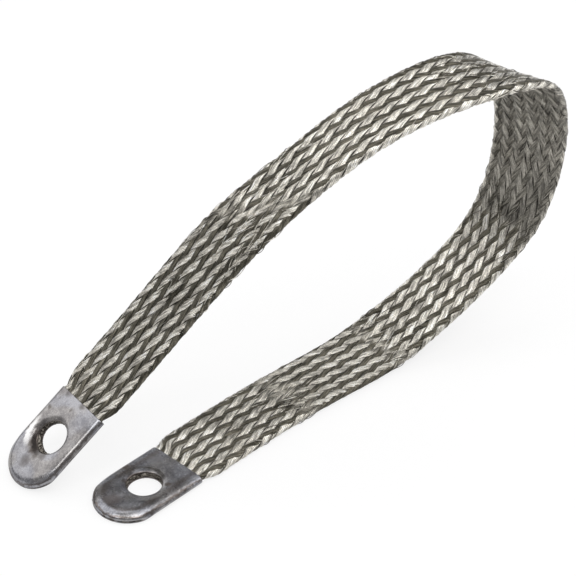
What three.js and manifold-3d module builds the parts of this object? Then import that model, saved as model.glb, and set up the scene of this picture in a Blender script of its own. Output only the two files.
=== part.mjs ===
// Flexible busbar braid: a strap of flattened tubular braid with a pressed sleeve terminal at each end.
// Millimetres, +Z up. The right terminal lies on the surface z = 0 with its tip towards -X. The strap runs
// from its mouth along +X, rises in a loop and comes back to the left terminal, whose tip stands on z = 0.

import * as THREE from "three";
import { NURBSCurve } from "three/addons/curves/NURBSCurve.js";
import { mergeVertices } from "three/addons/utils/BufferGeometryUtils.js";
import Module from "manifold-3d";

// Terminal: a tube flattened on the braid, cut to a round tip and punched for one bolt
const sleeveWidth = 21.5;
const sleeveThickness = 2.8;
const sleeveWall = 0.6;
const boltHoleDiameter = 10.5;
const holeToTip = 16.8;
const holeToMouth = 13.4;
const tipEdgeRound = 0.8;
const punchRollover = 0.5;
const tipOvershoot = 0.2;
const cutMargin = 1;

// Braid: 24 carriers each way, every strand over two and under two
const floatColumns = 24;
const braidWidth = 23.5;
const braidThickness = 2.6;
const floatLength = 6.9;
const weaveRelief = 0.28;

// The braid's ends inside the terminals
const sleeveGap = 0.3;
const wovenInsert = 3;
const tongueLap = 2;
const mouthTaper = 5.5;
const tipRecess = 0.3;
const compaction = 0.1;

// Places of the terminals: the seat is the point of the right underside that lies at the origin
const seatToHole = 9;
const leftHole = { x: -19.4, y: 26.7 };
const leftTurn = { yaw: -10, pitch: 35, roll: 1.5 };

// The loop that the strap lies in: how far it reaches along X, how far it sways aside on Y, how high it rises
const loopReach = 142;
const loopSway = 26.6;
const loopHeight = 106;
const mouthLead = 9;
const floorClearance = 0.08;
const floorShare = (braidThickness / 2 + floorClearance) / loopHeight;

// Route of the centreline from the left mouth to the right one: shares of the loop's reach, sway and
// height, with the direction across the strap at each point
const route = [
  { at: [0.101, 0.68, 0.372], across: [-0.24, -0.96, -0.05] },
  { at: [0.233, 0.225, 0.632], across: [-0.29, -1, -0.17] },
  { at: [0.358, -0.147, 0.777], across: [-0.4, -0.91, 0] },
  { at: [0.491, -0.56, 0.939], across: [-0.31, -0.97, -0.03] },
  { at: [0.728, -1, 1], across: [-0.25, -0.97, -0.25] },
  { at: [0.947, -0.906, 0.859], across: [0.46, -0.95, 0.19] },
  { at: [1, -0.752, 0.475], across: [0.35, -0.85, -0.22] },
  { at: [0.924, -0.549, 0.225], across: [-0.21, -0.99, -0.06] },
  { at: [0.674, -0.218, 0.039], across: [-0.23, -1, -0.17] },
  { at: [0.537, -0.143, floorShare], across: [-0.03, -0.97, 0] },
  { at: [0.334, 0, floorShare], across: [-0.03, -0.95, 0] },
];

// Smoothness of the round forms
const holeSegments = 32;
const tipSegments = 64;
const edgeSegments = 6;
const cornerSegments = 2;

const cavityWidth = sleeveWidth - 2 * sleeveWall;
const cavityThickness = sleeveThickness - 2 * sleeveWall;
const mouthWidth = cavityWidth - 2 * sleeveGap;
const mouthThickness = cavityThickness - 2 * sleeveGap;
const tongueWidth = mouthWidth - 2 * compaction;
const tongueThickness = mouthThickness - 2 * compaction;
const tipCentre = sleeveWidth / 2 - holeToTip;
const linesAround = 2 * floatColumns;

const wasm = await Module();
wasm.setup();

function solidFromMesh(positions, indices) {
  const mesh = new wasm.Mesh({ numProp: 3, vertProperties: positions, triVerts: indices });
  return new wasm.Manifold(mesh);
}

// Solid of a closed geometry: shared vertices are merged, and triangles that fold to a line on a
// lathe's axis are left out
function solidOf(geometry) {
  const bare = geometry.clone();
  bare.deleteAttribute("normal");
  bare.deleteAttribute("uv");
  const merged = mergeVertices(bare, 1e-4);
  const indices = [];
  for (let i = 0; i < merged.index.count; i += 3) {
    const [a, b, c] = merged.index.array.subarray(i, i + 3);
    if (a !== b && b !== c && c !== a) indices.push(a, b, c);
  }
  const positions = new Float32Array(merged.attributes.position.array);
  return solidFromMesh(positions, new Uint32Array(indices));
}

function geometryOf(solid) {
  const mesh = solid.getMesh();
  const geometry = new THREE.BufferGeometry();
  geometry.setAttribute("position", new THREE.BufferAttribute(mesh.vertProperties, 3));
  geometry.setIndex(new THREE.BufferAttribute(mesh.triVerts, 1));
  return geometry;
}

// Outline of a flattened tube: straight sides and full-round edges
function flatTubeOutline(width, thickness) {
  const radius = thickness / 2;
  const reach = width / 2 - radius;
  const outline = new THREE.Shape();
  outline.absarc(reach, 0, radius, -Math.PI / 2, Math.PI / 2, false);
  outline.absarc(-reach, 0, radius, Math.PI / 2, (3 * Math.PI) / 2, false);
  outline.closePath();
  return outline;
}

// Terminal in its own frame: +X from tip to mouth, bolt hole's axis on Z, underside at z = 0
function flattenedTube() {
  const outline = flatTubeOutline(sleeveWidth, sleeveThickness);
  outline.holes.push(flatTubeOutline(cavityWidth, cavityThickness));
  const length = holeToTip + holeToMouth + cutMargin;
  const tube = new THREE.ExtrudeGeometry(outline, {
    depth: length,
    bevelEnabled: false,
    curveSegments: edgeSegments,
  });
  tube.rotateX(Math.PI / 2);
  tube.rotateZ(Math.PI / 2);
  tube.translate(holeToMouth - length, 0, sleeveThickness / 2);
  return solidOf(tube);
}

// Disc with eased edges that shapes the tip, and a block that leaves the rest of the tube whole
function tipCutter() {
  const radius = sleeveWidth / 2;
  const top = sleeveThickness + tipOvershoot;
  const profile = new THREE.Path();
  profile.moveTo(0, -tipOvershoot);
  profile.lineTo(radius - tipEdgeRound, -tipOvershoot);
  const low = tipEdgeRound - tipOvershoot;
  profile.absarc(radius - tipEdgeRound, low, tipEdgeRound, -Math.PI / 2, 0, false);
  profile.absarc(radius - tipEdgeRound, top - tipEdgeRound, tipEdgeRound, 0, Math.PI / 2, false);
  profile.lineTo(0, top);
  const disc = new THREE.LatheGeometry(profile.getPoints(cornerSegments), tipSegments);
  disc.rotateX(Math.PI / 2);
  disc.translate(tipCentre, 0, 0);
  const blockLength = holeToMouth - tipCentre + cutMargin;
  const block = new THREE.BoxGeometry(
    blockLength,
    sleeveWidth + 2 * cutMargin,
    sleeveThickness + 2 * cutMargin,
  );
  block.translate(tipCentre + blockLength / 2, 0, sleeveThickness / 2);
  return solidOf(disc).add(solidOf(block));
}

// Punch for the bolt hole, with the rolled edge on the upper face
function boltPunch() {
  const radius = boltHoleDiameter / 2;
  const profile = new THREE.Path();
  profile.moveTo(0, -cutMargin);
  profile.lineTo(radius, -cutMargin);
  profile.lineTo(radius, sleeveThickness - punchRollover);
  profile.absarc(
    radius + punchRollover,
    sleeveThickness - punchRollover,
    punchRollover,
    Math.PI,
    Math.PI / 2,
    true,
  );
  profile.lineTo(radius + punchRollover, sleeveThickness + cutMargin);
  profile.lineTo(0, sleeveThickness + cutMargin);
  const punch = new THREE.LatheGeometry(profile.getPoints(cornerSegments), holeSegments);
  punch.rotateX(Math.PI / 2);
  return solidOf(punch);
}

function sleeveSolid() {
  return flattenedTube().intersect(tipCutter()).subtract(boltPunch());
}

// Compacted end of the braid inside a terminal, cut and punched with it
function tongueSolid() {
  const half = tongueWidth / 2;
  const tipRadius = sleeveWidth / 2 - tipRecess;
  const corner = Math.asin(half / tipRadius);
  const start = holeToMouth - wovenInsert + tongueLap;
  const outline = new THREE.Shape();
  outline.moveTo(start, -half);
  outline.lineTo(start, half);
  outline.absarc(tipCentre, 0, tipRadius, Math.PI - corner, Math.PI + corner, false);
  outline.closePath();
  const hole = new THREE.Path();
  hole.absarc(0, 0, boltHoleDiameter / 2, 0, 2 * Math.PI, true);
  outline.holes.push(hole);
  const tongue = new THREE.ExtrudeGeometry(outline, {
    depth: tongueThickness,
    bevelEnabled: false,
    curveSegments: holeSegments / 2,
  });
  tongue.translate(0, 0, (sleeveThickness - tongueThickness) / 2);
  return solidOf(tongue);
}

// Place of a terminal as a matrix: turned about its bolt hole, then set down on the surface
function terminalPlace(hole, turn, sleeve) {
  const euler = new THREE.Euler(
    THREE.MathUtils.degToRad(turn.roll),
    THREE.MathUtils.degToRad(-turn.pitch),
    THREE.MathUtils.degToRad(turn.yaw),
    "ZYX",
  );
  const place = new THREE.Matrix4().makeRotationFromEuler(euler);
  const turned = geometryOf(sleeve).applyMatrix4(place);
  turned.computeBoundingBox();
  return place.setPosition(hole.x, hole.y, -turned.boundingBox.min.z);
}

// The first two route points at a terminal: one inside its mouth and one straight out of it
function routeEnd(place) {
  const middle = sleeveThickness / 2;
  const inside = new THREE.Vector3(holeToMouth - wovenInsert, 0, middle).applyMatrix4(place);
  const outside = new THREE.Vector3(holeToMouth + mouthLead, 0, middle).applyMatrix4(place);
  const across = new THREE.Vector3(0, -1, 0).transformDirection(place);
  return [
    { at: inside.toArray(), across: across.toArray() },
    { at: outside.toArray(), across: across.toArray() },
  ];
}

// Clamped cubic curve through a list of control vectors
function smoothCurve(vectors) {
  const degree = 3;
  const spans = vectors.length - degree;
  const knots = Array(degree).fill(0);
  for (let i = 0; i <= spans; i += 1) knots.push(i / spans);
  knots.push(...Array(degree).fill(1));
  const points = vectors.map((v) => new THREE.Vector4(...v, 1));
  const curve = new NURBSCurve(degree, knots, points);
  curve.arcLengthDivisions = 40 * vectors.length;
  return curve;
}

// Point and outward direction at a share of the way round a flattened tube's outline
function outlinePoint(share, width, thickness) {
  const radius = thickness / 2;
  const reach = width / 2 - radius;
  const side = 2 * reach;
  const arc = Math.PI * radius;
  const walked = share * 2 * (side + arc);
  if (walked < side) return { across: walked - reach, out: radius, nAcross: 0, nOut: 1 };
  if (walked < side + arc) {
    const angle = Math.PI / 2 - (walked - side) / radius;
    const nAcross = Math.cos(angle);
    const nOut = Math.sin(angle);
    return { across: reach + radius * nAcross, out: radius * nOut, nAcross, nOut };
  }
  const back = outlinePoint(share - 0.5, width, thickness);
  return { across: -back.across, out: -back.out, nAcross: -back.nAcross, nOut: -back.nOut };
}

// Height of the weave at a line and row: in each column the middle line rises over a float and sinks
// between two, and neighbouring columns are half a float apart
function weaveHeight(line, row) {
  if (line % 2 === 0) return 0;
  const column = (line - 1) / 2;
  return (row + column) % 2 === 0 ? 1 : -1;
}

function sectionAt(distance) {
  const t = THREE.MathUtils.smoothstep(distance, 0, mouthTaper);
  return {
    width: THREE.MathUtils.lerp(mouthWidth, braidWidth - 2 * weaveRelief, t),
    thickness: THREE.MathUtils.lerp(mouthThickness, braidThickness - 2 * weaveRelief, t),
    relief: weaveRelief * t,
  };
}

// Arc-length stations of the rows: the two ends lie inside the mouths, the others share out the rest
function rowStations(length) {
  const first = wovenInsert + sleeveGap;
  const free = length - 2 * first;
  const rows = 2 * Math.round(free / floatLength);
  const stations = [0];
  for (let i = 0; i <= rows; i += 1) stations.push(first + (free * i) / rows);
  stations.push(length);
  return { stations, first };
}

function wovenSolid(points) {
  const centre = smoothCurve(points.map((p) => p.at));
  const direction = smoothCurve(points.map((p) => p.across));
  const length = centre.getLength();
  const { stations, first } = rowStations(length);
  const positions = [];
  const ends = [];
  stations.forEach((station, row) => {
    const t = centre.getUtoTmapping(station / length);
    const at = centre.getPoint(t);
    const along = centre.getTangent(t);
    const across = direction.getPoint(t);
    across.addScaledVector(along, -across.dot(along)).normalize();
    const out = new THREE.Vector3().crossVectors(across, along);
    const section = sectionAt(Math.min(station, length - station) - first);
    for (let line = 0; line < linesAround; line += 1) {
      const p = outlinePoint(line / linesAround, section.width, section.thickness);
      const lift = section.relief * weaveHeight(line, row);
      const vertex = at.clone();
      vertex.addScaledVector(across, p.across + lift * p.nAcross);
      vertex.addScaledVector(out, p.out + lift * p.nOut);
      positions.push(...vertex.toArray());
    }
    if (row === 0 || row === stations.length - 1) ends.push(at);
  });
  const indices = [];
  const vertexAt = (row, line) => row * linesAround + (line % linesAround);
  for (let row = 0; row < stations.length - 1; row += 1) {
    for (let line = 0; line < linesAround; line += 1) {
      const a = vertexAt(row, line);
      const b = vertexAt(row, line + 1);
      const c = vertexAt(row + 1, line + 1);
      const d = vertexAt(row + 1, line);
      const slantsOn = Math.floor(line / 2) % 2 === 0;
      if (slantsOn) indices.push(a, b, c, a, c, d);
      else indices.push(a, b, d, b, c, d);
    }
  }
  ends.forEach((end, i) => {
    const hub = positions.length / 3;
    const row = i * (stations.length - 1);
    positions.push(...end.toArray());
    for (let line = 0; line < linesAround; line += 1) {
      const pair = [vertexAt(row, line), vertexAt(row, line + 1)];
      if (i === 0) pair.reverse();
      indices.push(hub, ...pair);
    }
  });
  return solidFromMesh(new Float32Array(positions), new Uint32Array(indices));
}

function placed(solid, place) {
  return solidOf(geometryOf(solid).applyMatrix4(place));
}

const tinned = new THREE.MeshStandardMaterial({ color: 0x8a8888, roughness: 0.32, metalness: 1 });
const tinnedWire = new THREE.MeshStandardMaterial({ color: 0xb4b0a6, roughness: 0.45, metalness: 1 });

const sleeve = sleeveSolid();
const tongue = tongueSolid();
const rightPlace = terminalPlace({ x: -seatToHole, y: 0 }, { yaw: 0, pitch: 0, roll: 0 }, sleeve);
const leftPlace = terminalPlace(leftHole, leftTurn, sleeve);
const loop = new THREE.Vector3(loopReach, loopSway, loopHeight);
const loopRoute = route.map(({ at, across }) => ({
  at: new THREE.Vector3(...at).multiply(loop).toArray(),
  across,
}));
const points = [...routeEnd(leftPlace), ...loopRoute, ...routeEnd(rightPlace).reverse()];

const strap = new THREE.Group();

function addMesh(name, solid, material, place) {
  const mesh = new THREE.Mesh(geometryOf(solid), material);
  mesh.name = name;
  if (place) mesh.applyMatrix4(place);
  strap.add(mesh);
}

const braid = wovenSolid(points).add(placed(tongue, leftPlace)).add(placed(tongue, rightPlace));
addMesh("braid", braid, tinnedWire);
addMesh("terminal_sleeve_left", sleeve, tinned, leftPlace);
addMesh("terminal_sleeve_right", sleeve, tinned, rightPlace);

export default strap;
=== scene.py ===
import math

import bmesh
import bpy
import numpy as np
from mathutils import Euler, Matrix, Vector, noise


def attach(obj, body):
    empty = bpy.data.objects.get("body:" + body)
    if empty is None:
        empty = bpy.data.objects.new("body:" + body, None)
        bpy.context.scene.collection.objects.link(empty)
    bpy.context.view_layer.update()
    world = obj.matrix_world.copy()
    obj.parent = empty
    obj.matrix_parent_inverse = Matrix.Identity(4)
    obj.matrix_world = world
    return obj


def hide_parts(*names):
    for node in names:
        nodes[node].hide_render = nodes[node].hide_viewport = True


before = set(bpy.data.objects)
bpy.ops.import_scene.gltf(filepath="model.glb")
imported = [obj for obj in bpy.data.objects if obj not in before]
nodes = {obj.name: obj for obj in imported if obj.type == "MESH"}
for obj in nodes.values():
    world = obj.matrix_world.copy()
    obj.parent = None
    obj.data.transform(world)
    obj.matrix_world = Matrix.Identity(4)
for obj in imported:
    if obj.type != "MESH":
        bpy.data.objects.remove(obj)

scene = bpy.context.scene
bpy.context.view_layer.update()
mm = 0.001
print("frame loaded")


# Camera at the photograph's viewing angle

viewpoint = {
    "place": (-303.8, -335.4, 390.7),
    "turn": (54.44, -0.31, -46.44),
    "lens": 125.7,
    "sensor": 36,
}


def makeCamera():
    data = bpy.data.cameras.new("camera")
    data.lens = viewpoint["lens"]
    data.sensor_width = viewpoint["sensor"]
    camera = bpy.data.objects.new("camera", data)
    scene.collection.objects.link(camera)
    camera.location = Vector(viewpoint["place"]) * mm
    camera.rotation_euler = [math.radians(a) for a in viewpoint["turn"]]
    scene.camera = camera


makeCamera()
print("camera placed")


# Places of the two terminals: local +X runs from tip to mouth, the bolt hole's axis is Z

terminal = {
    "width": 21.5,
    "thickness": 2.8,
    "boltHole": 10.5,
    "holeToTip": 16.8,
    "holeToMouth": 13.4,
    "left": {"place": (-19.4, 26.7, 9.4736), "turn": (1.5, -35, -10)},
    "right": {"place": (-9, 0, 0), "turn": (0, 0, 0)},
}
tipCentre = terminal["width"] / 2 - terminal["holeToTip"]  # centre of the round tip, on local X


def terminalPlace(side):
    turn = Euler([math.radians(a) for a in terminal[side]["turn"]], "XYZ")
    place = Matrix.Translation(Vector(terminal[side]["place"]) * mm)
    return place @ turn.to_matrix().to_4x4()


leftPlace = terminalPlace("left")
rightPlace = terminalPlace("right")


# The strap between the terminals, in mm

strap = {
    "width": 23.5,
    "thickness": 2.6,
    "mouthWidth": 20.3,
    "mouthThickness": 1.6,
    "mouthTaper": 5.5,
    "mouthLead": 9,
    "wovenInsert": 3,
    "sleeveGap": 0.3,
    "clearance": 0.08,  # under the strap where it lies on the surface
    "lowest": 0.02,
    "routeSamples": 6001,
    "cordStations": 160,
}
loop = {"reach": 142, "sway": 26.6, "height": 106}
resting = (strap["thickness"] / 2 + strap["clearance"]) / loop["height"]
# Route of the centreline: shares of the loop's reach, sway and height, and the direction across
route = [
    ((0.101, 0.68, 0.372), (-0.24, -0.96, -0.05)),
    ((0.233, 0.225, 0.632), (-0.29, -1, -0.17)),
    ((0.358, -0.147, 0.777), (-0.4, -0.91, 0)),
    ((0.491, -0.56, 0.939), (-0.31, -0.97, -0.03)),
    ((0.728, -1, 1), (-0.25, -0.97, -0.25)),
    ((0.947, -0.906, 0.859), (0.46, -0.95, 0.19)),
    ((1, -0.752, 0.475), (0.35, -0.85, -0.22)),
    ((0.924, -0.549, 0.225), (-0.21, -0.99, -0.06)),
    ((0.674, -0.218, 0.039), (-0.23, -1, -0.17)),
    ((0.537, -0.143, resting), (-0.03, -0.97, 0)),
    ((0.334, 0, resting), (-0.03, -0.95, 0)),
]


# The first two route points at a terminal, inside its mouth and straight out of it
def routeEnd(place):
    across = tuple(place.to_3x3() @ Vector((0, -1, 0)))
    ends = []
    for reach in (-strap["wovenInsert"], strap["mouthLead"]):
        local = Vector((terminal["holeToMouth"] + reach, 0, terminal["thickness"] / 2))
        ends.append((tuple((place @ (local * mm)) / mm), across))
    return ends


# Points of a clamped cubic curve at an array of parameters from 0 to 1
def clampedCurve(control, at):
    control = np.array(control, float)
    knots = np.concatenate([np.zeros(3), np.linspace(0, 1, len(control) - 2), np.ones(3)])
    span = np.clip(np.searchsorted(knots, at, side="right") - 1, 3, len(control) - 1)
    points = [control[span - 3 + i] for i in range(4)]
    for level in (1, 2, 3):
        for i in range(3, level - 1, -1):
            low = knots[span - 3 + i]
            high = knots[span + 1 + i - level]
            share = ((at - low) / (high - low))[:, None]
            points[i] = (1 - share) * points[i - 1] + share * points[i]
    return points[3]


def unitRows(rows):
    return rows / np.linalg.norm(rows, axis=1)[:, None]


# Table of the strap's centreline and directions by distance along it, in mm
def strapTable():
    size = (loop["reach"], loop["sway"], loop["height"])
    points = [(tuple(np.multiply(at, size)), across) for at, across in route]
    ends = routeEnd(leftPlace) + points + routeEnd(rightPlace)[::-1]
    at = np.linspace(0, 1, strap["routeSamples"])
    centre = clampedCurve([e[0] for e in ends], at)
    across = clampedCurve([e[1] for e in ends], at)
    along = unitRows(np.gradient(centre, axis=0))
    across = unitRows(across - (across * along).sum(1)[:, None] * along)
    out = np.cross(across, along)
    steps = np.linalg.norm(np.diff(centre, axis=0), axis=1)
    distance = np.concatenate([[0], np.cumsum(steps)])
    return distance, np.hstack([centre, across, out])


tableDistance, tableRows = strapTable()
strapLength = tableDistance[-1]


def strapAt(distance):
    rows = [np.interp(distance, tableDistance, column) for column in tableRows.T]
    return np.stack(rows[0:3], 1), np.stack(rows[3:6], 1), np.stack(rows[6:9], 1)


# Point and outward direction at a share of the way round a flattened tube's outline
def outlineAt(share, width, thickness):
    radius = thickness / 2
    side = width - thickness
    walked = (share % 0.5) * 2 * (side + math.pi * radius)
    angle = math.pi / 2 - np.clip(walked - side, 0, None) / radius
    straight = walked < side
    half = np.where(share % 1 < 0.5, 1, -1)
    nAcross = np.where(straight, 0, np.cos(angle))
    nOut = np.where(straight, 1, np.sin(angle))
    across = np.where(straight, walked - side / 2, side / 2 + radius * nAcross)
    return half * across, half * radius * nOut, half * nAcross, half * nOut


# Carriers of the braid: 24 flat bundles of wires each way, over two and under two

weave = {
    "carriers": 24,
    "cycle": 4,  # crossings to one over and under
    "halfBulk": 0.45,
    "crown": 2.1,  # how squarely a carrier rises over two and dips under two
    # How much longer the back carriers lie on top: where the leaning ones are lit, and elsewhere
    "bias": (0.25, 0.03),
    "sections": 448,
    "sides": 8,
    "squareness": (0.55, 0.9),  # powers that shape the cross section, across and up
    "lift": 0.21,
    # Carriers of the way that catches the light are spread wide and slide across on their floats
    "lit": {"halfThickness": 0.27, "sideStep": 0.45, "tilt": 0.06},
    "unlit": {"halfThickness": 0.2, "sideStep": 0.1, "tilt": 0},
    "lean": {"way": 1, "halfWidths": (0.99, 1.3), "topAt": 0.5, "seed": 3},
    "back": {"way": -1, "halfWidths": (0.98, 1.28), "topAt": 2.5, "seed": 5},
    # How far carriers wander sideways and in height: everywhere, more where loose, and wavelengths
    "sway": (0.06, 0.5, (9, 17, 31)),
    "heave": (0.03, 0.17, (7, 13, 23)),
}
# Length of a float by distance along: the braid is drawn out near the terminals
floatLengths = [
    (0, 7.6),
    (50, 7.5),
    (75, 6.7),
    (100, 6.2),
    (140, 5.9),
    (190, 6.1),
    (290, 6.2),
    (320, 6.8),
    (345, 7.3),
    (390, 7.7),
]
# Places where the strap was bent sharply and the weave is loose: distance along, reach, strength
looseSpots = [
    (64, 7, 0.6),
    (84, 10, 0.75),
    (160, 9, 0.6),
    (214, 12, 0.5),
    (241, 8, 0.8),
    (299, 6, 0.6),
    (343, 6, 0.5),
]


def outlineRound():
    width = strap["width"] - 2 * weave["halfBulk"]
    thickness = strap["thickness"] - 2 * weave["halfBulk"]
    return 2 * (width - thickness) + math.pi * thickness


def floatLengthAt(distance):
    return np.interp(distance, *np.transpose(floatLengths))


pitch = outlineRound() / weave["carriers"]
turnSteps = np.diff(tableDistance) / floatLengthAt(tableDistance[1:]) / weave["carriers"]
turnsTable = np.concatenate([[0], np.cumsum(turnSteps)])


# Turns round the strap that a carrier has made, and its angle to the strap
def turnsAt(distance):
    return np.interp(distance, tableDistance, turnsTable)


def slantAt(distance):
    return np.arctan2(pitch, floatLengthAt(distance))


def smoothStep(value):
    value = np.clip(value, 0, 1)
    return value * value * (3 - 2 * value)


# 1 at a centre and falling off over its reach; the distance is in shares of that reach
def bell(away):
    return np.exp(-(away**2))


def looseness(distance):
    loose = np.zeros_like(distance)
    for at, reach, strength in looseSpots:
        loose += strength * bell((distance - at) / reach)
    return loose


# Distances from the left mouth where the painted light changes from one way of carriers to the
# other, what the painted tones and the shapes take to change on either side, and how uneven the
# tones' edge is
toneSwap = {"first": 78, "second": (301, 339), "blend": 4, "shapeBlend": 6, "jitter": 20}
# The first change runs slantwise: it comes later toward one edge, by so much at the edge itself
toneSkew = {"atEdge": 16, "until": 112, "blend": 50}
# Inside of the loop's far end, painted in shade where neither way is lit: from, to, blend,
# brightness of the painted shade, share lit
dimPart = {"from": 182, "to": 242, "blend": 9, "brightness": 0.62, "share": 0.38}


# Distance along with the slant of the change taken off
def toneDistance(share, distance):
    across = outlineAt(share, strap["width"], strap["thickness"])[0] / (strap["width"] / 2)
    near = 1 - smoothStep((distance - toneSkew["until"]) / toneSkew["blend"])
    return distance - toneSkew["atEdge"] * across * near


# 1 on the face that turns to the inside of the loop, 0 on the outer one
def innerAt(share):
    return 0.5 - 0.5 * outlineAt(share, strap["width"], strap["thickness"])[3]


# 1 where the carriers that lean forward catch the light, 0 where the others do
def leanLitAt(distance, inner):
    distance = distance - strap["wovenInsert"]
    blend = toneSwap["shapeBlend"]
    past = [
        smoothStep((distance - edge + blend) / (2 * blend))
        for edge in (toneSwap["first"], *toneSwap["second"])
    ]
    inDim = smoothStep((distance - dimPart["from"]) / dimPart["blend"] + 0.5)
    inDim *= smoothStep((dimPart["to"] - distance) / dimPart["blend"] + 0.5)
    return 1 - past[0] + past[1] - past[2] + dimPart["share"] * inDim * inner


# Smooth wander along the strap, different for each carrier and the same each run
def wander(distance, carrier, seed, waves):
    rng = np.random.default_rng(seed)
    total = np.zeros_like(distance)
    for wave in waves:
        phase = rng.uniform(0, 2 * math.pi, weave["carriers"])
        height = rng.uniform(0.5, 1, weave["carriers"])
        total += height[carrier] * np.sin(2 * math.pi * distance / wave + phase[carrier])
    return total / len(waves)


# Points on the braid, in mm, by share round it, distance along it and height over its mean surface
def onBraid(share, distance, height):
    distance = np.clip(distance, 0, strapLength)
    first = strap["wovenInsert"] + strap["sleeveGap"]
    toEnd = np.minimum(distance, strapLength - distance)
    pinch = 1 - smoothStep((toEnd - first) / strap["mouthTaper"])
    width = strap["width"] + (strap["mouthWidth"] - strap["width"]) * pinch
    thickness = strap["thickness"] + (strap["mouthThickness"] - strap["thickness"]) * pinch
    bulk = 2 * weave["halfBulk"]
    across, outward, nAcross, nOut = outlineAt(share, width - bulk, thickness - bulk)
    centre, acrossWay, outWay = strapAt(distance)
    placed = (
        centre
        + acrossWay * (across + nAcross * height)[:, None]
        + outWay * (outward + nOut * height)[:, None]
    )
    placed[:, 2] = np.maximum(placed[:, 2], strap["lowest"])  # it lies on the surface
    return placed


# 1 where a carrier of this way lies on top of the other way's, -1 where it dips under them
def overUnder(crossing, way, leanLit):
    wave = np.cos(2 * math.pi * (crossing - 0.5) / weave["cycle"])
    bias = weave["bias"][1] + (weave["bias"][0] - weave["bias"][1]) * leanLit
    return way * np.tanh(weave["crown"] * (wave - bias))


def finishMesh(bm, name, smooth=True):
    bmesh.ops.remove_doubles(bm, verts=bm.verts, dist=1e-7)
    bmesh.ops.recalc_face_normals(bm, faces=bm.faces)
    mesh = bpy.data.meshes.new(name)
    bm.to_mesh(mesh)
    bm.free()
    mesh.polygons.foreach_set("use_smooth", [smooth] * len(mesh.polygons))
    piece = bpy.data.objects.new(name, mesh)
    scene.collection.objects.link(piece)
    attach(piece, "root")
    print(name, len(mesh.polygons), "faces")
    return piece


draftApart = 10


# Straight upright tubes side by side, one unit in radius and two long
def draftTubes(count, sections, sides):
    bm = bmesh.new()
    bmesh.ops.create_cone(
        bm, cap_ends=True, segments=sides, radius1=1, radius2=1, depth=2
    )
    longEdges = [e for e in bm.edges if abs(e.verts[0].co.z - e.verts[1].co.z) > 1]
    bmesh.ops.subdivide_edges(bm, edges=longEdges, cuts=sections - 1)
    upright = bm.verts[:] + bm.edges[:] + bm.faces[:]
    for number in range(1, count):
        copy = bmesh.ops.duplicate(bm, geom=upright)["geom"]
        moved = [g for g in copy if isinstance(g, bmesh.types.BMVert)]
        bmesh.ops.translate(bm, verts=moved, vec=(0, draftApart * number, 0))
    return bm


# For each point: its tube's number, the share of the length, and the place across and up
def tubeCoordinates(bm):
    side, beside, along = np.array([v.co for v in bm.verts]).T
    number = np.round(beside / draftApart).astype(int)
    return number, (along + 1) / 2, side, beside - draftApart * number


def placeVerts(bm, placed):
    for vert, co in zip(bm.verts, placed * mm):
        vert.co = co


def setUv(bm, name, uvOfVert):
    layer = bm.loops.layers.uv.new(name)
    bm.verts.index_update()
    for face in bm.faces:
        for corner in face.loops:
            corner[layer].uv = uvOfVert[corner.vert.index]


def makeCarriers(name, lay):
    way = lay["way"]
    bm = draftTubes(weave["carriers"], weave["sections"], weave["sides"])
    carrier, along, side, up = tubeCoordinates(bm)
    distance = along * strapLength
    acrossPower, upPower = weave["squareness"]
    side = np.sign(side) * np.abs(side) ** acrossPower
    up = np.sign(up) * np.abs(up) ** upPower

    loose = looseness(distance)
    always, whereLoose, waves = weave["sway"]
    sway = (always + whereLoose * loose) * wander(distance, carrier, lay["seed"], waves)
    always, whereLoose, waves = weave["heave"]
    heave = (always + whereLoose * loose) * wander(distance, carrier, lay["seed"] + 1, waves)

    share = carrier / weave["carriers"] + way * turnsAt(distance)
    crossing = 2 * weave["carriers"] * share
    slant = slantAt(distance)
    tone = toneDistance(share, distance)
    inner = innerAt(share)
    leanLit = leanLitAt(tone, inner)
    lit = leanLit if way == 1 else 1 - leanLit
    unlitForm = {**weave["unlit"], "halfWidth": lay["halfWidths"][0]}
    litForm = {**weave["lit"], "halfWidth": lay["halfWidths"][1]}
    form = {key: low + (litForm[key] - low) * lit for key, low in unlitForm.items()}
    turn = 2 * math.pi * (crossing - lay["topAt"]) / weave["cycle"]
    step = form["sideStep"] * np.sin(turn)
    aside = side * form["halfWidth"]
    around = aside * np.cos(slant) + sway + step
    over = overUnder(crossing + around / pitch, way, leanLit)
    share = share + around / outlineRound()
    walked = distance - way * aside * np.sin(slant)
    height = weave["lift"] * over + up * form["halfThickness"] + side * form["tilt"] + heave
    placeVerts(bm, onBraid(share, walked, height))
    across = (carrier + 0.5 + 0.5 * side) / weave["carriers"]
    setUv(bm, "wires", np.stack([along, across], 1))
    setUv(bm, "tone", np.stack([tone / strapLength, inner], 1))
    return finishMesh(bm, name)


# Single wires that stand proud of the weave where it is loose, and a few elsewhere

strays = {
    "count": 700,
    "seed": 11,
    "sections": 12,
    "sides": 3,
    "radius": 0.12,
    "length": (3, 10),
    "scatter": 0.8,  # about a loose spot, in shares of its reach
    "proud": (0.3, 0.62),
    "root": 0.125,  # height that both ends start from
    "bend": 0.5,
    "skew": 0.9,
    "elsewhere": 0.2,
    "fromEnds": (10, 5),  # how near the strap's ends a stray's middle and its tips may come
}


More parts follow.
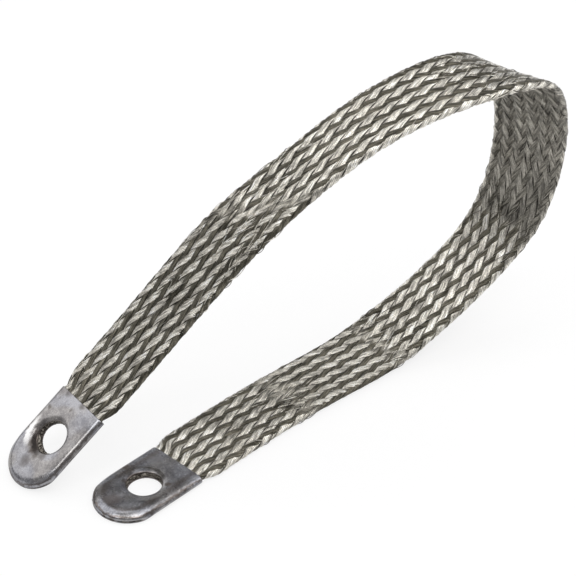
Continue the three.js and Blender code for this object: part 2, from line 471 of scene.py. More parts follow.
def makeStrays():
    rng = np.random.default_rng(strays["seed"])
    count = strays["count"]
    spots = np.array(looseSpots)
    spotAt, spotReach, spotStrength = spots.T
    middleLimit, tipLimit = strays["fromEnds"]
    chosen = rng.choice(len(spots), count, p=spotStrength / spotStrength.sum())
    start = spotAt[chosen] + spotReach[chosen] * rng.normal(0, strays["scatter"], count)
    free = rng.random(count) < strays["elsewhere"]
    anywhere = rng.uniform(middleLimit, strapLength - middleLimit, count)
    start = np.where(free, anywhere, start)
    first = rng.random(count)
    start = 2 * start - toneDistance(first, start)  # slantwise, as the tones change
    way = rng.choice((-1, 1), count)
    length = rng.uniform(*strays["length"], count)
    proud = rng.uniform(*strays["proud"], count)
    bend = rng.normal(0, strays["bend"], count)
    skew = rng.normal(0, strays["skew"], count)

    bm = draftTubes(count, strays["sections"], strays["sides"])
    number, along, side, up = tubeCoordinates(bm)
    arch = np.sin(math.pi * along)
    reach = (along - 0.5) * length[number]
    lateral = bend[number] * arch + skew[number] * (along - 0.5) + side * strays["radius"]
    walked = np.clip(start[number] + reach, tipLimit, strapLength - tipLimit)
    share = first[number] + way[number] * turnsAt(walked) + lateral / outlineRound()
    height = strays["root"] + proud[number] * arch + up * strays["radius"]
    placeVerts(bm, onBraid(share, walked, height))
    setUv(bm, "wires", np.stack([walked / strapLength, number / count], 1))
    setUv(bm, "tone", np.stack([walked / strapLength, innerAt(share)], 1))
    return finishMesh(bm, "stray_wires")


# Copy of a CAD node in the local frame of a terminal, in mm, with its doubles merged
def localCopy(nodeName, place):
    bm = bmesh.new()
    bm.from_mesh(nodes[nodeName].data)
    bmesh.ops.transform(
        bm, matrix=Matrix.Scale(1 / mm, 4) @ place.inverted(), verts=bm.verts
    )
    bmesh.ops.remove_doubles(bm, verts=bm.verts, dist=1e-4)
    return bm


# Fine even mesh over the same shape
def remeshed(bm, voxel):
    mesh = bpy.data.meshes.new("draft")
    bm.to_mesh(mesh)
    bm.free()
    draft = bpy.data.objects.new("draft", mesh)
    scene.collection.objects.link(draft)
    modifier = draft.modifiers.new("remesh", "REMESH")
    modifier.mode = "VOXEL"
    modifier.voxel_size = voxel
    result = bmesh.new()
    result.from_object(draft, bpy.context.evaluated_depsgraph_get())
    bpy.data.objects.remove(draft)
    bpy.data.meshes.remove(mesh)
    return result


def smoothVerts(bm, rounds):
    for _ in range(rounds):
        bmesh.ops.smooth_vert(
            bm,
            verts=bm.verts,
            factor=0.5,
            use_axis_x=True,
            use_axis_y=True,
            use_axis_z=True,
        )


# How the press and the punch shaped a terminal, in mm about its bolt hole

pressing = {
    "lowerWall": 0.6,  # the press moves what is above it
    "tipReach": 1.25,
    "tipLevels": ((0, 0.6, 2.2, 2.8), (0, 0.6, 0.95, 2.05)),  # heights before and at the rim
    "tipBlend": (2, 6),  # how far behind the tip's centre its form begins, and over what length
    "rollOff": (3.4, 0.65, 0.6),  # reach and depth of the fall toward the edges, less at the tip
    "holeDrop": 0.3,
    "holeReach": 0.8,
    "inwardReach": 1.5,
    "unevenness": 0.05,
    "unevenSize": 4.5,
    # Where the punch drew the hole's edge down and pushed the lower layers into it: angle, spread
    # and amount. Dents: place along and across, radius, depth. Shift: start of the unevenness
    "left": {
        "drawn": (135, 50, 0.6),
        "inward": (158, 62, 1.15),
        "dents": [(-5.9, 3.2, 1.7, 0.3), (-9.6, 1.2, 2.2, 0.14), (5.8, 8.2, 1.2, 0.1)],
        "shift": 7,
    },
    "right": {
        "drawn": (60, 60, 0.2),
        "inward": (90, 60, 0.5),
        "dents": [(-11.2, 0.2, 2.6, 0.12), (7.5, -4.5, 3, 0.08), (-4, 7.5, 2, 0.1)],
        "shift": 31,
    },
}


# Moves points of a terminal and its wires as the press and the punch did
def press(co, side):
    x, y, z = co.T
    form = pressing[side]
    wall = pressing["lowerWall"]
    upper = smoothStep((z - wall) / (terminal["thickness"] - wall))
    fromRim = terminal["width"] / 2 - np.hypot(np.minimum(x - tipCentre, 0), y)
    tipBegins, tipLength = pressing["tipBlend"]
    tipShare = smoothStep((tipCentre + tipBegins - x) / tipLength)
    squeeze = tipShare * bell(fromRim / pressing["tipReach"])
    z = z + squeeze * (np.interp(z, *pressing["tipLevels"]) - z)
    reach, depth, lessAtTip = pressing["rollOff"]
    roll = depth * (1 - lessAtTip * tipShare) * (1 - np.clip(fromRim / reach, 0, 1)) ** 2

    radius = np.hypot(x, y)
    fromHole = np.abs(radius - terminal["boltHole"] / 2)
    angle = np.degrees(np.arctan2(y, x))

    def punched(mark):
        middle, spread, amount = mark
        return amount * bell(((angle - middle + 180) % 360 - 180) / spread)

    holeDrop = pressing["holeDrop"] + punched(form["drawn"])
    drop = holeDrop * bell(fromHole / (pressing["holeReach"] * (1 + holeDrop)))
    inward = punched(form["inward"]) * (1 - upper) * bell(fromHole / pressing["inwardReach"])
    for atX, atY, reach, deep in form["dents"]:
        drop = drop + deep * bell(np.hypot(x - atX, y - atY) / reach)
    uneven = [
        noise.noise(Vector((a + form["shift"], b, c)) / pressing["unevenSize"])
        for a, b, c in co
    ]
    z = z - upper * (drop + roll) + pressing["unevenness"] * np.array(uneven)
    shrink = 1 - inward / radius
    return np.stack([x * shrink, y * shrink, z], 1)


def placeLocal(bm, local, place):
    for vert, co in zip(bm.verts, local):
        vert.co = co
    bmesh.ops.transform(bm, matrix=place @ Matrix.Scale(mm, 4), verts=bm.verts)


# A square of this size about the bolt hole fills a terminal's UV map, in mm
palmSpan = 40


def localUv(bm):
    return np.array([(v.co.x / palmSpan + 0.5, v.co.y / palmSpan + 0.5) for v in bm.verts])


# Compacted wires inside a terminal, thick enough here to fill the tube
tongue = {
    "cut": 2.5,
    "margin": 1,
    "fill": (1, 1.02, 1.9),
    "voxel": 0.2,
    "swell": 0.1,
    "grain": 0.22,
    "grainSize": 0.55,
    "flankSharpness": 1.6,
}


def makeTongue(name, place, side):
    bm = localCopy("braid", place)
    bmesh.ops.bisect_plane(
        bm,
        geom=bm.verts[:] + bm.edges[:] + bm.faces[:],
        plane_co=(terminal["holeToMouth"] - tongue["cut"], 0, 0),
        plane_no=(1, 0, 0),
        clear_outer=True,
    )
    far = [
        v
        for v in bm.verts
        if abs(v.co.y) > terminal["width"] / 2
        or not -tongue["margin"] < v.co.z < terminal["thickness"] + tongue["margin"]
        or v.co.x < -terminal["holeToTip"]
    ]
    bmesh.ops.delete(bm, geom=far, context="VERTS")
    bmesh.ops.holes_fill(bm, edges=bm.edges)
    middle = Vector((0, 0, terminal["thickness"] / 2))
    bmesh.ops.scale(
        bm, verts=bm.verts, vec=tongue["fill"], space=Matrix.Translation(-middle)
    )
    bm = remeshed(bm, tongue["voxel"])
    smoothVerts(bm, 1)
    bm.normal_update()
    co = np.array([v.co for v in bm.verts])
    normal = np.array([v.normal for v in bm.verts])
    flank = 1 - smoothStep(np.abs(normal[:, 2]) * tongue["flankSharpness"])
    grain = np.array([noise.noise(Vector(c) / tongue["grainSize"]) for c in co])
    swell = flank * (tongue["swell"] + tongue["grain"] * grain)
    placeLocal(bm, press(co + normal * swell[:, None], side), place)
    return finishMesh(bm, name, smooth=False)


# Terminals: the CAD tube remeshed finely, so that its edges are eased and its faces can be pressed

sleeveForm = {"voxel": 0.18, "smoothing": 3}


def makeSleeve(name, nodeName, place, side):
    bm = remeshed(localCopy(nodeName, place), sleeveForm["voxel"])
    smoothVerts(bm, sleeveForm["smoothing"])
    setUv(bm, "palm", localUv(bm))
    placeLocal(bm, press(np.array([v.co for v in bm.verts]), side), place)
    piece = finishMesh(bm, name)
    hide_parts(nodeName)
    return piece


leanCarriers = makeCarriers("carriers_lean", weave["lean"])
backCarriers = makeCarriers("carriers_back", weave["back"])
strayWires = makeStrays()
leftTongue = makeTongue("tongue_left", leftPlace, "left")
rightTongue = makeTongue("tongue_right", rightPlace, "right")
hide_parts("braid")
leftSleeve = makeSleeve("sleeve_left", "terminal_sleeve_left", leftPlace, "left")
rightSleeve = makeSleeve("sleeve_right", "terminal_sleeve_right", rightPlace, "right")


print("strap", round(strapLength, 1), "mm long")


# Materials


def newMaterial(name):
    material = bpy.data.materials.new(name)
    material.use_nodes = True
    tree = material.node_tree
    tree.nodes.clear()
    output = tree.nodes.new("ShaderNodeOutputMaterial")
    shader = tree.nodes.new("ShaderNodeBsdfPrincipled")
    tree.links.new(shader.outputs["BSDF"], output.inputs["Surface"])
    return material, tree, shader


# Adds a node; inputs are given by name or number, as a value or as the output that feeds it
def addNode(tree, kind, inputs=None, **settings):
    node = tree.nodes.new(kind)
    for key, value in settings.items():
        setattr(node, key, value)
    for key, value in (inputs or {}).items():
        if isinstance(value, bpy.types.NodeSocket):
            tree.links.new(value, node.inputs[key])
        else:
            node.inputs[key].default_value = value
    return node


def calc(tree, operation, *values):
    return addNode(
        tree, "ShaderNodeMath", dict(enumerate(values)), operation=operation
    ).outputs[0]


def product(tree, parts):
    total = parts[0]
    for part in parts[1:]:
        total = calc(tree, "MULTIPLY", total, part)
    return total


def vectorCalc(tree, operation, *values):
    outputs = addNode(
        tree, "ShaderNodeVectorMath", dict(enumerate(values)), operation=operation
    ).outputs
    return outputs["Value" if operation in ("LENGTH", "DISTANCE") else "Vector"]


def scaled(tree, colour, amount):
    return addNode(
        tree, "ShaderNodeVectorMath", {0: colour, "Scale": amount}, operation="SCALE"
    ).outputs[0]


def mixed(tree, amount, first, second):
    return addNode(
        tree, "ShaderNodeMix", {0: amount, 6: first, 7: second}, data_type="RGBA"
    ).outputs[2]


def eased(tree, value, low, high, start=0, end=1):
    return addNode(
        tree,
        "ShaderNodeMapRange",
        {0: value, 1: low, 2: high, 3: start, 4: end},
        interpolation_type="SMOOTHSTEP",
    ).outputs[0]


def cloudy(tree, vector, scale, detail=2, roughness=0.5):
    return addNode(
        tree,
        "ShaderNodeTexNoise",
        {"Vector": vector, "Scale": scale, "Detail": detail, "Roughness": roughness},
    ).outputs["Fac"]


def separated(tree, vector):
    return addNode(tree, "ShaderNodeSeparateXYZ", {"Vector": vector}).outputs


def uvOf(tree, name):
    return addNode(tree, "ShaderNodeUVMap", uv_map=name).outputs[0]


def addBump(tree, shader, height, strength, distance):
    bump = addNode(
        tree,
        "ShaderNodeBump",
        {"Height": height, "Strength": strength, "Distance": distance},
    )
    tree.links.new(bump.outputs["Normal"], shader.inputs["Normal"])


def newGroup(name, inputs, outputs):
    group = bpy.data.node_groups.new(name, "ShaderNodeTree")
    kinds = {"float": "NodeSocketFloat", "vector": "NodeSocketVector"}
    for label, kind in inputs:
        group.interface.new_socket(label, in_out="INPUT", socket_type=kinds[kind])
    for label, kind in outputs:
        group.interface.new_socket(label, in_out="OUTPUT", socket_type=kinds[kind])
    start = group.nodes.new("NodeGroupInput").outputs
    end = group.nodes.new("NodeGroupOutput").inputs
    return group, start, end


def feed(group, end, results):
    for label, value in results.items():
        group.links.new(value, end[label])


# How wires lie in a bundle, along the strap and across the bundle
wirePattern = {
    "wander": {"rate": 60, "scale": 3, "size": 1.6},  # how single wires wander, size in wires
    "valleyShadePower": 3,
    # Streaks on single wires, and on a few side by side
    "streaks": {"rate": 110, "singleStep": 3.7, "fewStep": 0.6, "fewSlice": 5},
    "edgeShadeFrom": 0.72,
}


# Wires side by side in a bundle: each round wire's normal, painted shade in the valleys between
# wires and toward a bundle's edges, and how wires differ
def wireGroup():
    group, start, end = newGroup(
        "wireLay",
        [("Along", "float"), ("Across", "float"), ("Wires", "float"), ("Roundness", "float")],
        [("Normal", "vector"), ("ValleyShade", "float"), ("Streak", "float"), ("EdgeShade", "float")],
    )

    def joined(x, y, z=0):
        return addNode(group, "ShaderNodeCombineXYZ", {"X": x, "Y": y, "Z": z}).outputs[0]

    wander = wirePattern["wander"]
    drift = joined(calc(group, "MULTIPLY", start["Along"], wander["rate"]), start["Across"])
    shift = calc(
        group,
        "MULTIPLY_ADD",
        cloudy(group, drift, wander["scale"]),
        wander["size"],
        -wander["size"] / 2,
    )
    count = calc(group, "MULTIPLY_ADD", start["Across"], start["Wires"], shift)
    local = calc(group, "MULTIPLY_ADD", calc(group, "FRACT", count), 2, -1)
    tilt = calc(group, "MULTIPLY", local, start["Roundness"])
    flat = calc(group, "SUBTRACT", 1, calc(group, "MULTIPLY", tilt, tilt))
    # A normal map holds -1 to 1 as 0 to 1
    encoded = joined(
        0.5,
        calc(group, "MULTIPLY_ADD", tilt, 0.5, 0.5),
        calc(group, "MULTIPLY_ADD", calc(group, "SQRT", flat), 0.5, 0.5),
    )
    normal = addNode(group, "ShaderNodeNormalMap", {"Color": encoded}, uv_map="wires")

    streaks = wirePattern["streaks"]
    lengthwise = calc(group, "MULTIPLY", start["Along"], streaks["rate"])
    wholeWire = calc(group, "MULTIPLY", calc(group, "FLOOR", count), streaks["singleStep"])
    fewWires = calc(group, "MULTIPLY", count, streaks["fewStep"])
    streak = calc(
        group,
        "ADD",
        cloudy(group, joined(lengthwise, wholeWire), 1, 1),
        cloudy(group, joined(lengthwise, fewWires, streaks["fewSlice"]), 1, 1),
    )

    inBundle = calc(group, "FRACT", calc(group, "MULTIPLY", start["Across"], weave["carriers"]))
    aside = calc(group, "ABSOLUTE", calc(group, "MULTIPLY_ADD", inBundle, 2, -1))
    valleyShade = calc(group, "POWER", calc(group, "ABSOLUTE", local), wirePattern["valleyShadePower"])
    results = {
        "Normal": normal.outputs["Normal"],
        "ValleyShade": valleyShade,
        "Streak": calc(group, "MULTIPLY", streak, 0.5),
        "EdgeShade": eased(group, aside, wirePattern["edgeShadeFrom"], 1),
    }
    feed(group, end, results)
    return group


# How far the carriers that lean forward are painted as lit at a place on the strap, and the
# painted brightness there
def toneGroup():
    group, start, end = newGroup(
        "toneAlong",
        [("Along", "float"), ("Inner", "float"), ("Jitter", "float")],
        [("Lean Light", "float"), ("Shade", "float")],
    )
    jitter = toneSwap["jitter"]
    distance = calc(group, "MULTIPLY_ADD", start["Along"], strapLength, -strap["wovenInsert"])
    uneven = calc(group, "MULTIPLY_ADD", start["Jitter"], jitter, -jitter / 2)
    distance = calc(group, "ADD", distance, uneven)

    def past(edge, half):
        return eased(group, distance, edge - half, edge + half)

    first, low, high = (
        past(edge, toneSwap["blend"]) for edge in (toneSwap["first"], *toneSwap["second"])
    )
    lit = calc(group, "SUBTRACT", 1, first)
    lit = calc(group, "ADD", lit, calc(group, "SUBTRACT", low, high))
    into, outOf = (past(dimPart[edge], dimPart["blend"] / 2) for edge in ("from", "to"))
    dim = product(group, [into, calc(group, "SUBTRACT", 1, outOf), start["Inner"]])
    results = {
        "Lean Light": calc(group, "MULTIPLY_ADD", dim, dimPart["share"], lit),
        # Painted shade inside the loop's far end
        "Shade": calc(group, "MULTIPLY_ADD", dim, dimPart["brightness"] - 1, 1),
    }
    feed(group, end, results)
    return group


# Tinned wire; a range is the part of a pattern that counts, a shade what it does to the colour
wireFinish = {
    # Colours of the carriers painted as lit and as in shade
    "paintedLit": (0.93, 0.885, 0.79, 1),
    "paintedShade": (0.175, 0.162, 0.128, 1),
    "tarnish": (0.30, 0.27, 0.22, 1),
    "roughness": 0.3,
    "wires": 6,
    "roundness": 0.8,
    "valleyShade": 0.7,
    # Painted shade toward a carrier's edges, where it dives under its neighbours, for each way
    "edge": {"lean": 0.25, "back": 0.6, "stray": 0},
    "jitterScale": 160,
    "stains": {"scale": 60, "detail": 3, "range": (0.56, 0.75), "tarnish": 0.35, "rough": 0.15},
    "streaks": {"range": (0.36, 0.64), "shade": (0.45, 1.3)},
    "patches": {"noise": (170, 2, 0.5), "range": (0.35, 0.65), "shade": (0.84, 1.12)},
    "grain": {"noise": (2600, 2, 0.6), "range": (0.36, 0.62), "shade": (0.72, 1.18)},
    "strayLit": {"mixing": 97.3, "above": 0.4},
}


def wireMaterial(name, family, lay, toneAlong):
    material, tree, shader = newMaterial(name)
    place = addNode(tree, "ShaderNodeTexCoord").outputs["Object"]
    wirePlace = separated(tree, uvOf(tree, "wires"))
    tonePlace = separated(tree, uvOf(tree, "tone"))
    wires = addNode(
        tree,
        "ShaderNodeGroup",
        {
            "Along": wirePlace["X"],
            "Across": wirePlace["Y"],
            "Wires": wireFinish["wires"] * weave["carriers"],
            "Roundness": wireFinish["roundness"],
        },
        node_tree=lay,
    ).outputs
    tone = addNode(
        tree,
        "ShaderNodeGroup",
        {
            "Along": tonePlace["X"],
            "Inner": tonePlace["Y"],
            "Jitter": cloudy(tree, place, wireFinish["jitterScale"]),
        },
        node_tree=toneAlong,
    ).outputs

    lit = tone["Lean Light"]
    if family == "back":
        lit = calc(tree, "SUBTRACT", 1, lit)
    if family == "stray":
        strayLit = wireFinish["strayLit"]
        drawn = calc(tree, "FRACT", calc(tree, "MULTIPLY", wirePlace["Y"], strayLit["mixing"]))
        lit = calc(tree, "GREATER_THAN", drawn, strayLit["above"])
    stains = wireFinish["stains"]
    stained = cloudy(tree, place, stains["scale"], stains["detail"])
    stained = eased(tree, stained, *stains["range"])
    tarnished = calc(tree, "MULTIPLY", stained, stains["tarnish"])
    # Painted light: carriers of the way that catches the light take the lit colour, the others the
    # shaded one; stray wires take one or the other at random
    colour = mixed(tree, lit, wireFinish["paintedShade"], wireFinish["paintedLit"])
    colour = mixed(tree, tarnished, colour, wireFinish["tarnish"])

    streaks = wireFinish["streaks"]
    # Painted shade in the valleys between wires, toward the carriers' edges and inside the loop's
    # far end; streaks, patches and grain are the wires' own differences
    shades = [
        calc(tree, "MULTIPLY_ADD", wires["ValleyShade"], -wireFinish["valleyShade"], 1),
        calc(tree, "MULTIPLY_ADD", wires["EdgeShade"], -wireFinish["edge"][family], 1),
        tone["Shade"],
        eased(tree, wires["Streak"], *streaks["range"], *streaks["shade"]),
    ]
    for pattern in (wireFinish["patches"], wireFinish["grain"]):
        noisy = cloudy(tree, place, *pattern["noise"])
        shades.append(eased(tree, noisy, *pattern["range"], *pattern["shade"]))
    colour = scaled(tree, colour, product(tree, shades))

    tree.links.new(colour, shader.inputs["Base Color"])
    tree.links.new(wires["Normal"], shader.inputs["Normal"])
    rough = calc(tree, "MULTIPLY_ADD", stained, stains["rough"], wireFinish["roughness"])
    tree.links.new(rough, shader.inputs["Roughness"])
    shader.inputs["Metallic"].default_value = 1
    return material


# Tinned copper sheet: cloudy tin, stains where press and flux marked it, fine scratches and pits,
# with painted shade, a painted highlight and painted dark reflections

# Angle, half angle, distance from the hole's axis, half width and strength of the painted shade
# where the punch drew the hole's edge down, and of the painted highlight beside it. Stains: place
# along and across, reach and strength; their colour also paints dark reflections. All in mm and
# degrees
tinFinish = {
    "left": {
        "clean": (0.37, 0.365, 0.37, 1),
        "cloud": (0.20, 0.196, 0.205, 1),
        "shadedArc": (130, 78, 6, 1.3, 1),
        "highlightArc": (108, 40, 8.5, 1.3, 0.8),
        "reflectionBand": 0.15,
        "stain": (0.10, 0.085, 0.075, 1),
        "stains": [
            (-6.2, 2.2, 1.6, 0.95),
            (-5.2, 4.2, 1.3, 0.8),
            (-7.2, -0.2, 1.1, 0.6),
            (-10.4, 1.3, 1.9, 0.5),
            (-5.8, -2.6, 1.3, 0.5),
            (6.2, 8.2, 0.7, 0.6),
            (9.8, 0.9, 0.7, 0.55),
            (12.9, 6, 1.2, 0.6),
            (12.9, -1.5, 1.1, 0.6),
        ],
    },
    "right": {
        "clean": (0.36, 0.36, 0.37, 1),
        "cloud": (0.16, 0.16, 0.175, 1),
        "shadedArc": (100, 80, 5.6, 1.5, 0.6),
        "highlightArc": (250, 50, 7.2, 1.2, 0.25),
        "reflectionBand": 0.5,
        "stain": (0.12, 0.095, 0.08, 1),
        "stains": [
            (-11.2, 1.2, 2.6, 0.6),
            (1, 8.8, 1.1, 0.85),
            (-3.4, 4.9, 1, 0.6),
            (4.4, -5.6, 1, 0.8),
            (-10, 6.5, 2.4, 0.35),
            (9.5, 5.4, 2.6, 0.3),
            (3, -9, 2, 0.3),
        ],
    },
}
# What the marks of both terminals have in common
tinMarks = {
    "rag": {"scale": 0.7, "detail": 3, "size": 1.8},  # how ragged their edges are
    "stainFade": (0.35, 1.5),  # shares of its reach between which a stain fades
    "tint": {"range": (0.4, 0.6), "warm": (1.03, 1.0, 0.96, 1), "cool": (0.97, 0.98, 1.02, 1)},
    "arcCore": 0.3,
    "reflectionBand": ((2.2, 3), (3.2, 5.2)),  # distances from the rim where the painted dark reflection band sets in and ends
    "scratched": ((0.75, 0.74, 0.73, 1), 0.4),
    # Colours of the painted highlight and the painted shade in the arcs beside the hole
    "highlightArc": (0.85, 0.84, 0.83, 1),
    "shadedArc": (0.035, 0.03, 0.028, 1),
    "holeRim": (0.1, 0.45, 0.7),  # distances from the hole's edge between which its darkening fades, and its strength
    "reflectionLine": {"at": 0.55, "fade": (0.1, 0.4, 0.7)},  # the same for the painted dark reflection in a line beside the rim
    "bump": (0.5, 0.00012),
}
# Patterns of both: scale, detail and roughness of each noise, and the range that counts
tinPattern = {
    "cloud": (230, 4, 0.6),
    "fine": (1500, 3, 0.6),
    "both": {"cloud": 0.7, "fine": 0.45, "range": (0.4, 0.72)},
    "tint": (120, 1),
    "scratch": {
        "turn": 0.5,
        "stretch": (0.6, 9, 1),
        "noise": (1.6, 3, 0.7),
        "range": (0.6, 0.72),
    },
    "pits": {"scale": 900, "range": (0.06, 0.16), "cloudRange": (0.5, 0.62)},
    "roughness": {"clean": 0.13, "both": 0.2, "stain": 0.25, "scratch": 0.1},
    "height": {"cloud": 0.5, "fine": 0.25, "scratch": -0.12, "pit": -0.6},
}


def tinGroup():
    group, start, end = newGroup(
        "tinWear",
        [("Palm", "vector"), ("Place", "vector"), ("Stain", "float")],
        [(label, "float") for label in ("Cloud", "Tint", "Scratch", "Roughness", "Height")],
    )
    place = start["Place"]
    cloud = cloudy(group, place, *tinPattern["cloud"])
    fine = cloudy(group, place, *tinPattern["fine"])
    shares = tinPattern["both"]
    both = calc(group, "MULTIPLY", cloud, shares["cloud"])
    both = calc(group, "MULTIPLY_ADD", fine, shares["fine"], both)

    form = tinPattern["scratch"]
    worn = addNode(
        group,
        "ShaderNodeMapping",
        {"Vector": start["Palm"], "Rotation": (0, 0, form["turn"]), "Scale": form["stretch"]},
    ).outputs[0]
    scratch = eased(group, cloudy(group, worn, *form["noise"]), *form["range"])
    form = tinPattern["pits"]
    cells = addNode(
        group, "ShaderNodeTexVoronoi", {"Vector": place, "Scale": form["scale"]}
    ).outputs["Distance"]
    pit = eased(group, cells, *form["range"], 1, 0)
    pit = calc(group, "MULTIPLY", pit, eased(group, cloud, *form["cloudRange"]))

    form = tinPattern["roughness"]
    roughness = calc(group, "MULTIPLY_ADD", both, form["both"], form["clean"])
    roughness = calc(group, "MULTIPLY_ADD", start["Stain"], form["stain"], roughness)
    roughness = calc(group, "MULTIPLY_ADD", scratch, form["scratch"], roughness)
    form = tinPattern["height"]
    height = calc(group, "MULTIPLY", cloud, form["cloud"])
    height = calc(group, "MULTIPLY_ADD", fine, form["fine"], height)
    height = calc(group, "MULTIPLY_ADD", scratch, form["scratch"], height)
    height = calc(group, "MULTIPLY_ADD", pit, form["pit"], height)
    results = {
        "Cloud": eased(group, both, *shares["range"]),
        "Tint": cloudy(group, place, *tinPattern["tint"]),
        "Scratch": scratch,
        "Roughness": roughness,
        "Height": height,
    }
    feed(group, end, results)
    return group


def tinMaterial(name, side, wear):
    finish = tinFinish[side]
    material, tree, shader = newMaterial(name)
    place = addNode(tree, "ShaderNodeTexCoord").outputs["Object"]
    palm = addNode(
        tree,
        "ShaderNodeMapping",
        {
            "Vector": uvOf(tree, "palm"),
            "Location": (-palmSpan / 2, -palmSpan / 2, 0),
            "Scale": (palmSpan, palmSpan, 0),
        },
    ).outputs[0]
    rag = tinMarks["rag"]
    uneven = addNode(
        tree,
        "ShaderNodeTexNoise",
        {"Vector": palm, "Scale": rag["scale"], "Detail": rag["detail"]},
    ).outputs["Color"]
    ragged = vectorCalc(tree, "MULTIPLY_ADD", uneven, (rag["size"], rag["size"], 0), palm)
    ragged = vectorCalc(tree, "SUBTRACT", ragged, (rag["size"] / 2, rag["size"] / 2, 0))

    stain = 0
    for atX, atY, reach, strength in finish["stains"]:
        away = vectorCalc(tree, "DISTANCE", ragged, (atX, atY, 0))
        core, rim = (reach * share for share in tinMarks["stainFade"])
        stain = calc(tree, "MAXIMUM", stain, eased(tree, away, core, rim, strength, 0))
    tin = addNode(
        tree,
        "ShaderNodeGroup",
        {"Palm": palm, "Place": place, "Stain": stain},
        node_tree=wear,
    ).outputs
    tints = tinMarks["tint"]
    tint = eased(tree, tin["Tint"], *tints["range"])
    colour = mixed(tree, tin["Cloud"], finish["cloud"], finish["clean"])
    colour = vectorCalc(tree, "MULTIPLY", colour, mixed(tree, tint, tints["warm"], tints["cool"]))
    colour = mixed(tree, stain, colour, finish["stain"])

    around = vectorCalc(tree, "LENGTH", ragged)
    parts = separated(tree, ragged)
    angle = calc(tree, "ARCTAN2", parts["Y"], parts["X"])

    def arc(mark):
        middle, spread, radius, halfWidth, strength = mark
        turned = calc(tree, "COSINE", calc(tree, "SUBTRACT", angle, math.radians(middle)))
        window = eased(tree, turned, math.cos(math.radians(spread)), 1, 0, strength)
        away = calc(tree, "ABSOLUTE", calc(tree, "SUBTRACT", around, radius))
        inside = eased(tree, away, halfWidth * tinMarks["arcCore"], halfWidth, 1, 0)
        return calc(tree, "MULTIPLY", window, inside)

    toTip = calc(tree, "MINIMUM", calc(tree, "SUBTRACT", parts["X"], tipCentre), 0)
    squares = calc(tree, "MULTIPLY", parts["Y"], parts["Y"])
    squares = calc(tree, "MULTIPLY_ADD", toTip, toTip, squares)
    fromRim = calc(tree, "SUBTRACT", terminal["width"] / 2, calc(tree, "SQRT", squares))
    # Painted dark reflection in a band along the rim, before the edge rolls off
    setsIn, ends = tinMarks["reflectionBand"]
    reflectionBand = eased(tree, fromRim, *setsIn, 0, finish["reflectionBand"])
    reflectionBand = calc(tree, "MULTIPLY", reflectionBand, eased(tree, fromRim, *ends, 1, 0))
    colour = mixed(tree, reflectionBand, colour, finish["stain"])
    bare, strength = tinMarks["scratched"]
    colour = mixed(tree, calc(tree, "MULTIPLY", tin["Scratch"], strength), colour, bare)
    # Painted highlight and painted shade in arcs beside the hole, where the punch drew its edge
    # down
    for mark in ("highlightArc", "shadedArc"):
        colour = mixed(tree, arc(finish[mark]), colour, tinMarks[mark])
    # Darker toward the hole's edge
    fromHole = calc(tree, "SUBTRACT", vectorCalc(tree, "LENGTH", palm), terminal["boltHole"] / 2)
    darkening = eased(tree, fromHole, *tinMarks["holeRim"], 0)
    colour = mixed(tree, darkening, colour, finish["stain"])
    # Painted dark reflection in a thin line beside the rim, where the edge rounds over
    reflectionLine = tinMarks["reflectionLine"]
    fromReflectionLine = calc(tree, "ABSOLUTE", calc(tree, "SUBTRACT", fromRim, reflectionLine["at"]))
    darkening = eased(tree, fromReflectionLine, *reflectionLine["fade"], 0)
    colour = mixed(tree, darkening, colour, finish["stain"])

    tree.links.new(colour, shader.inputs["Base Color"])
    tree.links.new(tin["Roughness"], shader.inputs["Roughness"])
    addBump(tree, shader, tin["Height"], *tinMarks["bump"])
    shader.inputs["Metallic"].default_value = 1
    return material


# Cut ends of the compacted wires, seen in the bolt holes and at the tips
grainFinish = {
    "noise": (1700, 3, 0.6),
    "range": (0.42, 0.66),
    "dark": (0.03, 0.026, 0.022, 1),
    "light": (0.34, 0.31, 0.27, 1),
    "roughness": 0.5,
    "bump": (0.8, 0.0003),
}


def tongueMaterial():
    material, tree, shader = newMaterial("compactedWire")
    place = addNode(tree, "ShaderNodeTexCoord").outputs["Object"]
    grain = cloudy(tree, place, *grainFinish["noise"])
    light = eased(tree, grain, *grainFinish["range"])
    colour = mixed(tree, light, grainFinish["dark"], grainFinish["light"])
    tree.links.new(colour, shader.inputs["Base Color"])
    addBump(tree, shader, grain, *grainFinish["bump"])
    shader.inputs["Metallic"].default_value = 1
    shader.inputs["Roughness"].default_value = grainFinish["roughness"]
    return material


def dress(piece, material):
    piece.data.materials.clear()
    piece.data.materials.append(material)


wireLay = wireGroup()
toneAlong = toneGroup()
tinWear = tinGroup()
grainy = tongueMaterial()
dress(leanCarriers, wireMaterial("leanWire", "lean", wireLay, toneAlong))
dress(backCarriers, wireMaterial("backWire", "back", wireLay, toneAlong))
dress(strayWires, wireMaterial("strayWire", "stray", wireLay, toneAlong))
dress(leftTongue, grainy)
dress(rightTongue, grainy)
dress(leftSleeve, tinMaterial("tinLeft", "left", tinWear))
dress(rightSleeve, tinMaterial("tinRight", "right", tinWear))
print("materials made")


# Floor, backdrop and studio light


studio = {
    "world": (0.43, 0.43, 0.435, 1),
    "floor": (0.9, 0.9, 0.9, 1),
    "floorHalfSize": 4,
    "floorRoughness": 0.9,
    "floorShadow": 0.2,  # how much of the shadow on the floor the camera sees
    "aim": (55, 0, 45),  # middle of the part, in mm
}


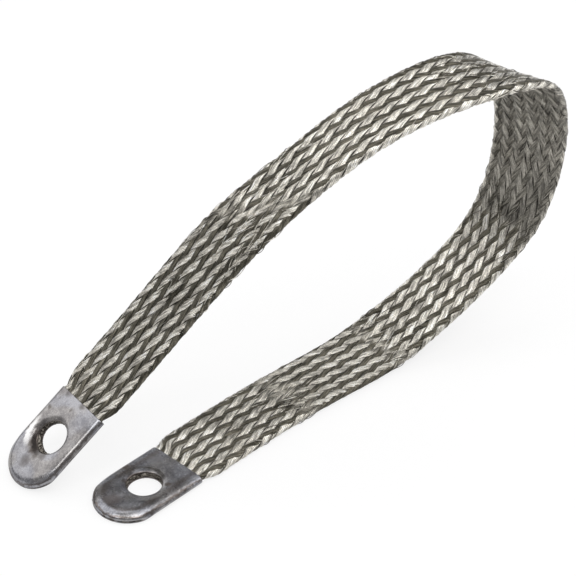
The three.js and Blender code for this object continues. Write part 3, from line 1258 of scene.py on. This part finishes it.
def makeFloor():
    bm = bmesh.new()
    bmesh.ops.create_grid(bm, x_segments=1, y_segments=1, size=studio["floorHalfSize"])
    mesh = bpy.data.meshes.new("floor")
    bm.to_mesh(mesh)
    bm.free()
    floor = bpy.data.objects.new("floor", mesh)
    scene.collection.objects.link(floor)
    material, tree, shader = newMaterial("paleFloor")
    shader.inputs["Base Color"].default_value = studio["floor"]
    shader.inputs["Roughness"].default_value = studio["floorRoughness"]
    seen = addNode(tree, "ShaderNodeLightPath").outputs["Is Camera Ray"]
    white = addNode(tree, "ShaderNodeEmission", {"Color": (1, 1, 1, 1), "Strength": 1})
    amount = calc(tree, "MULTIPLY", seen, 1 - studio["floorShadow"])
    mix = addNode(
        tree,
        "ShaderNodeMixShader",
        {0: amount, 1: shader.outputs["BSDF"], 2: white.outputs[0]},
    )
    output = tree.nodes["Material Output"]
    tree.links.new(mix.outputs[0], output.inputs["Surface"])
    mesh.materials.append(material)


def makeWorld():
    world = bpy.data.worlds.new("studio")
    scene.world = world
    world.use_nodes = True
    tree = world.node_tree
    tree.nodes.clear()
    output = tree.nodes.new("ShaderNodeOutputWorld")
    path = tree.nodes.new("ShaderNodeLightPath")
    white = addNode(tree, "ShaderNodeBackground", {"Color": (1, 1, 1, 1)})
    room = addNode(tree, "ShaderNodeBackground", {"Color": studio["world"], "Strength": 1})
    mix = addNode(
        tree,
        "ShaderNodeMixShader",
        {0: path.outputs["Is Camera Ray"], 1: room.outputs[0], 2: white.outputs[0]},
    )
    tree.links.new(mix.outputs[0], output.inputs["Surface"])


# Soft boxes: azimuth and elevation in degrees, distance and size in metres, brightness of the face
lamps = {
    "right_box": {"azimuth": 330, "elevation": 30, "away": 1.2, "size": 0.8, "face": 1.8},
    "rear_box": {"azimuth": 2, "elevation": 55, "away": 1.3, "size": 0.75, "face": 1.2},
    "overhead": {"azimuth": 285, "elevation": 70, "away": 1.2, "size": 0.9, "face": 1.3},
    "far_left": {"azimuth": 98, "elevation": 42, "away": 1.3, "size": 1.4, "face": 1.05},
    "near_top": {"azimuth": 250, "elevation": 62, "away": 1.2, "size": 0.4, "face": 4},
    "near_left": {"azimuth": 172, "elevation": 54, "away": 1.2, "size": 0.4, "face": 4},
}


def makeLamps():
    centre = Vector(studio["aim"]) * mm
    for name, lamp in lamps.items():
        data = bpy.data.lights.new(name, "AREA")
        data.shape = "SQUARE"
        data.size = lamp["size"]
        data.energy = lamp["face"] * math.pi * lamp["size"] ** 2
        light = bpy.data.objects.new(name, data)
        scene.collection.objects.link(light)
        azimuth = math.radians(lamp["azimuth"])
        elevation = math.radians(lamp["elevation"])
        toward = Vector(
            (
                math.cos(elevation) * math.cos(azimuth),
                math.cos(elevation) * math.sin(azimuth),
                math.sin(elevation),
            )
        )
        light.location = centre + toward * lamp["away"]
        light.rotation_euler = toward.to_track_quat("Z", "Y").to_euler()


makeFloor()
makeWorld()
makeLamps()
scene.view_settings.view_transform = "Standard"
print("stage and lamps made")
